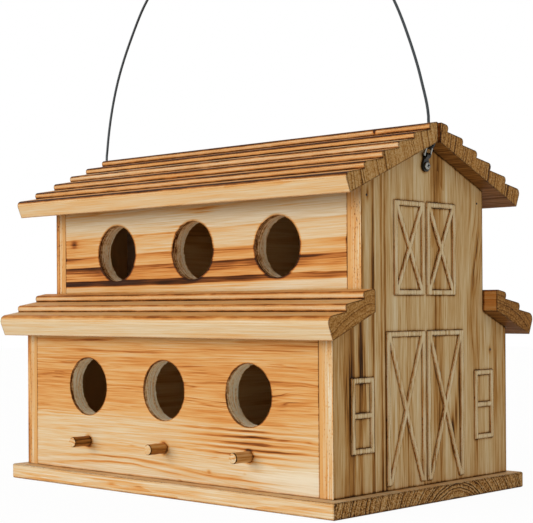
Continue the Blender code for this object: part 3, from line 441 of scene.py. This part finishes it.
def sawn_bore(name, face, char_depth, base_tone):
    """Torn end grain in a bore: fine rings from the saw's teeth, and a charred band behind the rim.
    face is the wall's outer face, as its distance from the middle in millimetres."""
    material, tree, surface = new_material(name)
    mm = add(tree, "VectorMath", {0: add(tree, "TexCoord")["Object"], "Scale": 1 / MM}, operation="SCALE")[0]
    y = add(tree, "SeparateXYZ", {0: mm})["Y"]
    depth = add(tree, "Math", {0: add(tree, "Math", {0: y}, operation="ABSOLUTE")[0], 1: -1.0, 2: face},
                operation="MULTIPLY_ADD")[0]
    squeeze = (1 / SAW_RING_LENGTH, 1 / SAW_RING_PITCH, 1 / SAW_RING_LENGTH)
    rings = add(tree, "VectorMath", {0: mm, 1: squeeze}, operation="MULTIPLY")[0]
    rings = add(tree, "TexNoise", {"Vector": rings, "Scale": 1.0, "Detail": 1.0})["Fac"]
    rings = add(tree, "MapRange", {0: rings, 1: 0.38, 2: 0.62, 3: -0.20, 4: 0.20})[0]
    torn = add(tree, "TexNoise", {"Vector": mm, "Scale": 0.6, "Detail": 4.0})["Fac"]
    torn = add(tree, "MapRange", {0: torn, 1: 0.3, 2: 0.7, 3: -0.16, 4: 0.16})[0]
    torn_rings = add(tree, "Math", {0: rings, 1: torn}, operation="ADD")[0]
    tone = add(tree, "Math", {0: torn_rings, 1: base_tone}, operation="ADD")[0]
    ragged = add(tree, "TexNoise", {"Vector": mm, "Scale": 0.2, "Detail": 3.0})["Fac"]
    edge = add(tree, "Math", {0: ragged, 1: -1.6 * char_depth, 2: depth}, operation="MULTIPLY_ADD")[0]
    char = add(tree, "MapRange", {0: edge, 1: -0.8 * char_depth, 2: 0.6 * char_depth, 3: 0.55, 4: 0.0},
               interpolation_type="SMOOTHSTEP")[0]
    tone = add(tree, "Math", {0: tone, 1: char}, operation="ADD")[0]
    colour = add(tree, "ValToRGB", {0: tone}, stops=[(at, linear(shade)) for at, shade in BORE_TONES])[0]
    bump = add(tree, "Bump", {"Strength": 0.8, "Distance": SAW_RING_PITCH * MM, "Height": torn_rings})[0]
    wood = add(tree, "BsdfPrincipled", {"Base Color": colour, "Roughness": 0.85, "Normal": bump,
                                        "Specular IOR Level": 0.1})
    tree.links.new(wood[0], surface)
    return material


def cut_away(board, cutter):
    """Takes the cutter's shape out of the board, and its material into the cut."""
    cut = board.modifiers.new("cut", "BOOLEAN")
    cut.operation = "DIFFERENCE"
    cut.solver = "EXACT"
    cut.material_mode = "TRANSFER"
    cut.object = cutter
    bpy.context.view_layer.objects.active = board
    bpy.ops.object.modifier_apply(modifier=cut.name)
    bpy.data.objects.remove(cutter, do_unlink=True)


def pick_edges(piece, is_wanted):
    """Opens the piece in edit mode with only the edges selected that is_wanted says yes to, from
    the places of their two ends."""
    bpy.context.tool_settings.mesh_select_mode = (False, True, False)
    bpy.ops.object.mode_set(mode="EDIT")
    bpy.ops.mesh.select_all(action="DESELECT")
    bpy.ops.object.mode_set(mode="OBJECT")
    points = piece.data.vertices
    for edge in piece.data.edges:
        edge.select = is_wanted(*(points[i].co for i in edge.vertices))
    bpy.ops.object.mode_set(mode="EDIT")


def hole_saw_plug(x, z, low_y, high_y, inner_y, seed):
    """What the hole saw takes out: rough sides, and splinters broken out at the inner face."""
    length = high_y - low_y + 2 * SAW_PAST
    bpy.ops.object.select_all(action="DESELECT")
    bpy.ops.mesh.primitive_cylinder_add(
        vertices=BORE_SIDES, radius=ENTRANCE_RADIUS, depth=length, location=(x, (low_y + high_y) / 2, z),
        rotation=(math.pi / 2, 0, 0))
    plug = bpy.context.object
    bpy.ops.object.transform_apply(location=True, rotation=True, scale=True)
    pick_edges(plug, lambda start, end: abs(start.y - end.y) > length / 2)
    bpy.ops.mesh.subdivide(number_cuts=BORE_SLICES)
    bpy.context.tool_settings.mesh_select_mode = (True, False, False)
    bpy.ops.mesh.select_all(action="DESELECT")
    bpy.ops.object.mode_set(mode="OBJECT")
    for point in plug.data.vertices:
        point.select = abs(point.co.y - inner_y) < length / BORE_SLICES / 2
    bpy.ops.object.mode_set(mode="EDIT")
    bpy.ops.transform.vertex_random(offset=BREAK_OUT, seed=seed)
    bpy.ops.object.mode_set(mode="OBJECT")
    marks = plug.modifiers.new("tooth_marks", "DISPLACE")
    marks.texture = tooth_marks
    marks.texture_coords = "GLOBAL"
    marks.strength = TOOTH_MARK
    bpy.ops.object.modifier_apply(modifier=marks.name)
    return plug


def sawn_board(node, pitch, sign):
    """A wall without its holes, its top edge sawn to the roof's slope."""
    low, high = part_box(node)
    bpy.ops.object.select_all(action="DESELECT")
    bpy.ops.mesh.primitive_cube_add(size=1, location=(low + high) / 2, scale=high - low)
    board = bpy.context.object
    board.name = node + "_board"
    bpy.ops.object.transform_apply(location=True, rotation=True, scale=True)
    bpy.ops.object.mode_set(mode="EDIT")
    bpy.ops.mesh.select_all(action="SELECT")
    inner_y = high.y if sign < 0 else low.y
    bpy.ops.mesh.bisect(plane_co=(0, inner_y, high.z), plane_no=(0, sign * math.sin(pitch), math.cos(pitch)),
                        use_fill=True, clear_outer=True)
    bpy.ops.object.mode_set(mode="OBJECT")
    return board, inner_y


WALL_FIR = {
    "upper": dict(
        pith=(-400, -40), ring_gap=2.6, ring_depth=0.08, base_tone=0.11, slope=0.009, streaks=0.10, wander=0.8,
        wander_length=120, ripple=0.9, veins=0.18, fibres=0.17, bundle=(160, 1.4),
        # The bands from 204 mm up darken the wall's top under the eave: painted shade.
        zones=[(133, 0.05), (150, 0.07), (154.0, 0.18), (155.2, 0.68), (157.0, 0.84), (158.8, 0.80), (159.5, 0.36),
               (163, 0.38), (166.6, 0.56), (169.4, 0.68), (170.1, 0.28), (173, 0.24), (175.5, 0.38), (177.6, 0.42),
               (178.3, 0.14), (185, 0.08), (190.6, 0.18), (192.4, 0.22), (193.2, 0.0), (204, 0.0), (212, 0.12),
               (220, 0.24), (230, 0.32)],
        lifts=[(250, 190, 250, 22, 6)],
        spots=[(-139, 189, 4, 3, 0.36), (-150, 186, 60, 13, 0.20), (-60, 156, 60, 5, 0.10),
               (125, 157, 60, 5, -0.2), (10, 209, 20, 0.9, 0.50), (10, 206, 14, 0.8, 0.36),
               (110, 164, 50, 3, 0.08)]),
    "lower": dict(
        pith=(-400, -40), ring_gap=3.6, ring_depth=0.14, ring_edge=2.6, base_tone=0.18, wander=2.2, wander_length=130,
        ripple=1.6, veins=0.22, streaks=0.08, fibres=0.18, bundle=(170, 1.3),
        zones=[(11, -0.04), (30, 0.02), (44, 0.04), (52, 0.02), (58, 0.18), (70, 0.23), (100, 0.22), (108, 0.27),
               (121, 0.24)],
        lifts=[(-50, 20, 72, 15, 7), (70, 92, 60, 10, 4), (70, 69, 60, 10, -4)],
        spots=[(47, 20, 2, 1.3, 0.28), (82, 22, 1.6, 1.0, 0.12), (140, 20, 50, 12, -0.24),
               (-40, 18.5, 80, 1.0, 0.46), (-60, 13.5, 60, 0.8, 0.30), (60, 17, 60, 0.8, 0.34),
               (80, 35, 60, 1.1, 0.46), (90, 39.2, 60, 1.1, 0.54), (86, 43.2, 62, 1.2, 0.50),
               (80, 47.4, 60, 1.1, 0.48), (74, 51.6, 56, 1.1, 0.34), (104, 31, 40, 0.9, 0.30),
               (110, 78, 40, 0.8, 0.2), (110, 84, 40, 0.8, 0.2), (-100, 112, 50, 1.0, 0.28),
               (-20, 117, 60, 1.4, 0.26), (-50, 104, 60, 0.8, 0.24)])}
# How far the darkening reaches out from each round, in millimetres, and how deep it is.
RIM_CHAR = {"lower": (1.2, 0.35), "upper": (2.2, 0.45)}
# Round each perch's root the wall is darker in a ring.
ROOT_DARKENING = (3.0, 0.20)
ENTRANCE_HEIGHT = {"lower": 76.4, "upper": 179.4}
PERCH_MIDDLE_HEIGHT = 34.5
PERCH_RADIUS = 4.0
HOLE_SPACING = 86.0


def charred_rims(storey):
    """The saw has scorched a halo round each entrance, and each perch's root is darker in a ring round it."""
    def shade(tree, tone, parts):
        x, _, z = add(tree, "SeparateXYZ", {0: parts["mm"]})
        nearest = add(tree, "Math", {0: x, 1: -HOLE_SPACING / 2, 2: HOLE_SPACING / 2}, operation="WRAP")[0]
        rounds = [(ENTRANCE_HEIGHT[storey], ENTRANCE_RADIUS / MM, *RIM_CHAR[storey])]
        if storey == "lower":
            rounds.append((PERCH_MIDDLE_HEIGHT, PERCH_RADIUS, *ROOT_DARKENING))
        for height, radius, reach, deeper in rounds:
            above = add(tree, "Math", {0: z, 1: height}, operation="SUBTRACT")[0]
            out = add(tree, "VectorMath", {0: add(tree, "CombineXYZ", {0: nearest, 1: above})[0]},
                      operation="LENGTH")["Value"]
            near = add(tree, "MapRange", {0: out, 1: radius + reach, 2: radius, 3: 0.0, 4: deeper},
                       interpolation_type="SMOOTHSTEP")[0]
            near = add(tree, "Math", {0: near, 1: parts["patchy"]}, operation="MULTIPLY")[0]
            tone = add(tree, "Math", {0: tone, 1: near}, operation="ADD")[0]
        return tone
    return shade


entrances = [opening for opening in frame["record"]["physics"]["openings"] if "entrance" in opening["name"]]
for storey in ("lower", "upper"):
    for side, sign in (("front", -1), ("back", 1)):
        node = f"{side}_{storey}_wall"
        board, inner_y = sawn_board(node, ROOF_PITCH[storey], sign)
        board.data.materials.append(torched_fir(f"{node}_fir", "X", own=charred_rims(storey), **WALL_FIR[storey]))
        low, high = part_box(node)
        face = max(abs(low.y), abs(high.y)) / MM
        bore = sawn_bore(f"{node}_bore", face, *BORE_CHAR[storey])
        for number, opening in enumerate(o for o in entrances if o["name"].startswith(f"{storey}_{side}")):
            corner, opposite = (Vector(c) for c in opening["box_m"])
            middle = (corner + opposite) / 2
            plug = hole_saw_plug(middle.x, middle.z, low.y, high.y, inner_y, number + 3 * (sign > 0))
            plug.data.materials.append(bore)
            cut_away(board, plug)
            if storey == "lower":
                perch_low, perch_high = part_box(f"perch_{side}_{number + 1}")
                perch_middle = (perch_low + perch_high) / 2
                bpy.ops.mesh.primitive_cylinder_add(
                    vertices=SOCKET_SIDES, radius=PERCH_SOCKET_RADIUS, depth=2 * PERCH_SOCKET_DEPTH,
                    location=(perch_middle.x, sign * face * MM, perch_middle.z), rotation=(math.pi / 2, 0, 0))
                socket = bpy.context.object
                socket.data.materials.append(bore)
                cut_away(board, socket)
        bpy.ops.object.select_all(action="DESELECT")
        board.select_set(True)
        bpy.ops.object.shade_smooth_by_angle(angle=SMOOTH_BELOW)
        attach(board, "house")
        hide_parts(node)


# Chambers
# Floor, spines and dividers inside the house: thin fir boards left as they were planed.
# The torch never reached them, so they are greyer and duller than the outside, with dust.
DUSTY_FIR = [(0.0, "DCC8B0"), (0.5, "B49880"), (1.0, "66503E")]
PLANED = dict(pith=(60, 90), ring_gap=5, ring_depth=0.08, veins=0.06, fibres=0.06, arris=0.1, corner=0,
              end_tone=0.0, colours=DUSTY_FIR, roughness=0.8)
inner_along_x = torched_fir("inner_fir_lengthwise", "X", base_tone=0.20, **PLANED)
inner_along_y = torched_fir("inner_fir_crosswise", "Y", base_tone=0.40, **PLANED)
for node in ("upper_floor", "lower_spine", "upper_spine"):
    finish_node(node, inner_along_x)
for storey in ("lower", "upper"):
    for number in (1, 2):
        finish_node(f"{storey}_divider_{number}", inner_along_y)


# Roofs
# Four thick boards, each milled down its whole length into lapped courses with rounded noses.
# The noses' tops are black, with torch char and painted shade; the treads behind them are torch-browned.
# The roofs' undersides get painted shade, a dark brown.
UNDERSIDE_SHADE_TONE = 0.76
TREAD_TONE = 0.20
# A nose takes char and painted shade between these upward parts of its normal; a tread lies flat above these.
NOSE_TURNS = (0.12, 0.74)
TREAD_LIES = (0.93, 0.985)
RIDGE_JOINT_REACH = (0.6, 2.4)
UPPER_NOSE_CHAR_AND_SHADE = 0.95
LOWER_NOSE_CHAR_AND_SHADE = 0.50
RIDGE_JOINT_CHAR = 0.75
# (distance from the ridge in millimetres, change of tone) along the courses.
UPPER_COURSES = [(0, 0.08), (11, 0.08), (13, 0.16), (28, 0.16), (30, -0.12), (45, -0.12), (47, 0.10), (62, 0.10),
                 (64, 0.06), (81, 0.06), (84, 0.06), (110, 0.05)]
LOWER_COURSES = [(70, 0.26), (71.5, 0.26), (72.5, 0.04), (82, 0.04), (84, -0.06), (99, -0.06), (102, -0.04),
                 (120, -0.04)]


def milled_courses(course_tones, nose_char_and_shade):
    """Milled roof: course tones, char and painted shade on the noses, brown treads, painted shade underneath."""
    def shade(tree, tone, parts):
        y = add(tree, "SeparateXYZ", {0: parts["mm"]})["Y"]
        out = add(tree, "Math", {0: y}, operation="ABSOLUTE")[0]
        course = band_tone(tree, out, course_tones)
        endways = add(tree, "Math", {0: add(tree, "SeparateXYZ", {0: parts["facing"]})["X"]}, operation="ABSOLUTE")[0]
        long_grain = add(tree, "Math", {0: 1.0, 1: endways}, operation="SUBTRACT")[0]
        tone = add(tree, "Math", {0: course, 1: long_grain, 2: tone}, operation="MULTIPLY_ADD")[0]
        # Char and painted shade along the upper side of each nose.
        up = add(tree, "SeparateXYZ", {0: parts["eased"]})["Z"]
        nose = add(tree, "MapRange", {0: up, 1: NOSE_TURNS[0], 2: NOSE_TURNS[1], 3: 0.0, 4: nose_char_and_shade},
                   interpolation_type="SMOOTHSTEP")[0]
        tread = add(tree, "MapRange", {0: up, 1: TREAD_LIES[0], 2: TREAD_LIES[1], 3: 1.0,
                                       4: TREAD_TONE / nose_char_and_shade})[0]
        nose = add(tree, "Math", {0: nose, 1: tread}, operation="MULTIPLY")[0]
        uneven = add(tree, "MapRange", {0: parts["patchy"], 1: 0.35, 2: 1.0, 3: 0.6, 4: 1.0})[0]
        nose = add(tree, "Math", {0: nose, 1: uneven}, operation="MULTIPLY")[0]
        tone = add(tree, "Math", {0: tone, 1: nose}, operation="ADD")[0]
        joint = add(tree, "MapRange", {0: out, 1: RIDGE_JOINT_REACH[0], 2: RIDGE_JOINT_REACH[1],
                                       3: RIDGE_JOINT_CHAR, 4: 0.0})[0]
        tone = add(tree, "Math", {0: tone, 1: joint}, operation="ADD")[0]
        # Painted shade where the roof faces down.
        under = add(tree, "MapRange", {0: up, 1: -0.6, 2: -0.85})[0]
        underside_shade = add(tree, "Math", {0: parts["fibre"], 1: 0.18, 2: UNDERSIDE_SHADE_TONE}, operation="MULTIPLY_ADD")[0]
        change = add(tree, "Math", {0: underside_shade, 1: tone}, operation="SUBTRACT")[0]
        return add(tree, "Math", {0: change, 1: under, 2: tone}, operation="MULTIPLY_ADD")[0]
    return shade


# The top course has split near its right end: (along, across, length, width, tone).
RIDGE_SPLIT = (126, 261, 1.2, 1.6, 0.9)
for side, sign, splits, upper_end, lower_end in (("front", -1, [RIDGE_SPLIT], 0.24, 0.34),
                                                 ("back", 1, [], 0.34, 0.44)):
    finish_node(f"upper_roof_{side}", torched_fir(
        f"upper_roof_{side}_fir", "X", pith=(160, sign * 400), ring_gap=3.0, ring_depth=0.12, base_tone=0.20,
        streaks=0.10, veins=0.06, fibres=0.15, spots=splits, arris=1.3, corner=1.0, end_tone=upper_end,
        end_rings=3.2, own=milled_courses(UPPER_COURSES, UPPER_NOSE_CHAR_AND_SHADE)))
    finish_node(f"lower_roof_{side}", torched_fir(
        f"lower_roof_{side}_fir", "X", pith=(60, sign * 60), ring_gap=3.2, ring_depth=0.12, base_tone=0.21,
        streaks=0.10, veins=0.06, fibres=0.14, arris=0.9, corner=1.0, end_tone=lower_end, end_rings=1.6,
        own=milled_courses(LOWER_COURSES, LOWER_NOSE_CHAR_AND_SHADE)))


# Perches
# Hardwood dowels glued into their sockets. Each was cut with a small chamfer and charred
# differently by the torch.
DOWEL_SIDES = 40
DOWEL_SLICES = 10
DOWEL_CHAMFER = 0.8 * MM
WHITTLED = 0.25 * MM
NEAR = 0.1 * MM
whittling = bpy.data.textures.new("whittling", "CLOUDS")
whittling.noise_scale = 5.0 * MM
# Hardwood dowel has a close, even grain and takes a soft shine. Its sawn ends stay pale.
DOWEL_END_TONE = 0.22
PERCH_TONES = {"front": (0.68, 0.50, 0.36), "back": (0.46, 0.60, 0.42)}
charred_end = torched_fir("charred_dowel_chamfer", "Y", pith=(500, 0), ring_gap=3, base_tone=0.84, arris=0, corner=0)
for side, tones in PERCH_TONES.items():
    for number, tone in enumerate(tones, start=1):
        node = f"perch_{side}_{number}"
        low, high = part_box(node)
        outer_y = low.y if side == "front" else high.y
        bpy.ops.object.select_all(action="DESELECT")
        bpy.ops.mesh.primitive_cylinder_add(
            vertices=DOWEL_SIDES, radius=(high.x - low.x) / 2 - WHITTLED / 2, depth=high.y - low.y,
            location=(low + high) / 2, rotation=(math.pi / 2, 0, 0))
        dowel = bpy.context.object
        dowel.name = f"dowel_{side}_{number}"
        bpy.ops.object.transform_apply(location=True, rotation=True, scale=True)
        # The sawn end is chamfered, and cuts along the dowel give the whittling something to move.
        pick_edges(dowel, lambda a, b: max(abs(a.y - outer_y), abs(b.y - outer_y)) < NEAR)
        bpy.ops.mesh.bevel(offset=DOWEL_CHAMFER, segments=3)
        pick_edges(dowel, lambda a, b: abs(a.y - b.y) > (high.y - low.y) / 2)
        bpy.ops.mesh.subdivide(number_cuts=DOWEL_SLICES)
        bpy.ops.object.mode_set(mode="OBJECT")
        uneven = dowel.modifiers.new("whittling", "DISPLACE")
        uneven.texture = whittling
        uneven.texture_coords = "GLOBAL"
        uneven.strength = WHITTLED
        bpy.ops.object.modifier_apply(modifier=uneven.name)
        bpy.ops.object.shade_smooth_by_angle(angle=SMOOTH_BELOW)
        dowel.data.materials.append(torched_fir(
            f"{node}_dowel", "Y", pith=(500, 0), ring_gap=3, base_tone=tone, end_tone=DOWEL_END_TONE - tone,
            fibres=0.12, veins=0.05, fibre=(11, 1.3), arris=0.2, corner=0.35, roughness=0.4))
        dowel.data.materials.append(charred_end)
        for face in dowel.data.polygons:
            face.material_index = int(0.2 < abs(face.normal.y) < 0.95)
        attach(dowel, "house")
        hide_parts(node)


# Hardware
# A black lacquered strap holds a ring at each gable, and an annealed wire hooks into both.
def finished_steel(name, hex_colour, roughness, metallic):
    """Steel under a thin lacquer, plating or scale, a little uneven in its shine."""
    material, tree, surface = new_material(name)
    mm = add(tree, "VectorMath", {0: add(tree, "TexCoord")["Object"], "Scale": 1 / MM}, operation="SCALE")[0]
    uneven = add(tree, "TexNoise", {"Vector": mm, "Scale": 0.5, "Detail": 3.0})["Fac"]
    shine = add(tree, "MapRange", {0: uneven, 1: 0.3, 2: 0.7, 3: roughness - 0.06, 4: roughness + 0.08})[0]
    bump = add(tree, "Bump", {"Strength": 0.3, "Distance": 0.1 * MM, "Height": uneven})[0]
    metal = add(tree, "BsdfPrincipled", {"Base Color": linear(hex_colour), "Roughness": shine, "Metallic": metallic,
                                         "Normal": bump, "Specular IOR Level": 0.3})
    tree.links.new(metal[0], surface)
    return material


# The strap's black lacquer shows only its shine, the plated ring mirrors the room, the screw is
# a smoky plated steel, and the annealed wire is dark grey with a soft, oily gleam.
black = finished_steel("black_lacquered_steel", "0B0B0A", 0.15, 0.0)
bright = finished_steel("plated_steel", "9A9A94", 0.20, 1.0)
screw_steel = finished_steel("smoky_steel", "8E8E88", 0.24, 1.0)
for side in ("right", "left"):
    finish_node(f"strap_hanger_{side}", black)
    finish_node(f"d_ring_{side}", bright)
finish_node("hanging_wire", finished_steel("annealed_wire", "3C4042", 0.32, 0.8))

# One pan-head cross-recess screw holds each strap.
HEAD_RISE = 1.4 * MM
HEAD_SIDES = 40
SHANK_RADIUS = 1.4 * MM
POINT_LENGTH = 2.5 * MM
RECESS_WIDTH = 0.8 * MM
RECESS_REACH = 3.4 * MM
RECESS_CUT = 1.6 * MM
RECESS_TURN = math.radians(20)
for side, sign in (("right", 1), ("left", -1)):
    node = f"strap_screw_{side}"
    low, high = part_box(node)
    head_x = high.x if sign > 0 else low.x
    middle = (low + high) / 2
    head_radius = (high.y - low.y) / 2
    bpy.ops.object.select_all(action="DESELECT")
    bpy.ops.mesh.primitive_cylinder_add(
        vertices=HEAD_SIDES, radius=head_radius, depth=HEAD_RISE,
        location=(head_x - sign * HEAD_RISE / 2, middle.y, middle.z), rotation=(0, sign * math.pi / 2, 0))
    screw = bpy.context.object
    screw.name = f"screw_{side}"
    bpy.ops.object.transform_apply(location=True, rotation=True, scale=True)
    bpy.context.tool_settings.mesh_select_mode = (False, False, True)
    bpy.ops.object.mode_set(mode="EDIT")
    bpy.ops.mesh.select_all(action="DESELECT")
    bpy.ops.object.mode_set(mode="OBJECT")
    for face in screw.data.polygons:
        face.select = sign * face.normal.x < -0.9
    bpy.ops.object.mode_set(mode="EDIT")
    # The shank and its point are drawn out of the head's back.
    bpy.ops.mesh.inset(thickness=head_radius - SHANK_RADIUS)
    shank = (high.x - low.x) - HEAD_RISE - POINT_LENGTH
    bpy.ops.mesh.extrude_region_move(TRANSFORM_OT_translate={"value": (-sign * shank, 0, 0)})
    bpy.ops.mesh.extrude_region_move(TRANSFORM_OT_translate={"value": (-sign * POINT_LENGTH, 0, 0)})
    bpy.ops.transform.resize(value=(1, 0.1, 0.1))
    pick_edges(screw, lambda a, b: max(abs(a.x - head_x), abs(b.x - head_x)) < NEAR)
    bpy.ops.mesh.bevel(offset=0.8 * HEAD_RISE, segments=5)
    bpy.ops.object.mode_set(mode="OBJECT")
    screw.data.materials.append(screw_steel)
    for wide, tall in ((RECESS_WIDTH, RECESS_REACH), (RECESS_REACH, RECESS_WIDTH)):
        bpy.ops.object.select_all(action="DESELECT")
        bpy.ops.mesh.primitive_cube_add(size=1, location=(head_x, middle.y, middle.z),
                                        scale=(RECESS_CUT, wide, tall), rotation=(RECESS_TURN, 0, 0))
        driver_tip = bpy.context.object
        driver_tip.data.materials.append(black)
        cut_away(screw, driver_tip)
    bpy.ops.object.select_all(action="DESELECT")
    screw.select_set(True)
    bpy.ops.object.shade_smooth_by_angle(angle=SMOOTH_BELOW)
    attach(screw, "house")
    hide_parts(node)

# Four small pin nails hold each gable panel to the walls. Their heads stand a little proud, on scorched spots.
NAIL_PLACES = [(-64.3, 211.3), (63.3, 211.7), (79.7, 104.3), (81.5, 50.7)]
NAIL_HEAD_RADIUS = 0.9 * MM
NAIL_LENGTH = 9.0 * MM
NAIL_PROUD = 0.25 * MM
NAIL_SIDES = 16
for side, sign in (("right", 1), ("left", -1)):
    for number, (nail_y, nail_z) in enumerate(NAIL_PLACES, start=1):
        bpy.ops.object.select_all(action="DESELECT")
        bpy.ops.mesh.primitive_cylinder_add(
            vertices=NAIL_SIDES, radius=NAIL_HEAD_RADIUS, depth=NAIL_LENGTH, rotation=(0, math.pi / 2, 0),
            location=(sign * (gable_face * MM + NAIL_PROUD - NAIL_LENGTH / 2), nail_y * MM, nail_z * MM))
        nail = bpy.context.object
        nail.name = f"pin_nail_{side}_{number}"
        bpy.ops.object.transform_apply(location=True, rotation=True, scale=True)
        pick_edges(nail, lambda a, b: min(sign * a.x, sign * b.x) > gable_face * MM)
        bpy.ops.mesh.bevel(offset=0.5 * NAIL_HEAD_RADIUS, segments=3)
        bpy.ops.object.mode_set(mode="OBJECT")
        bpy.ops.object.shade_smooth_by_angle(angle=SMOOTH_BELOW)
        nail.data.materials.append(black)
        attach(nail, "house")
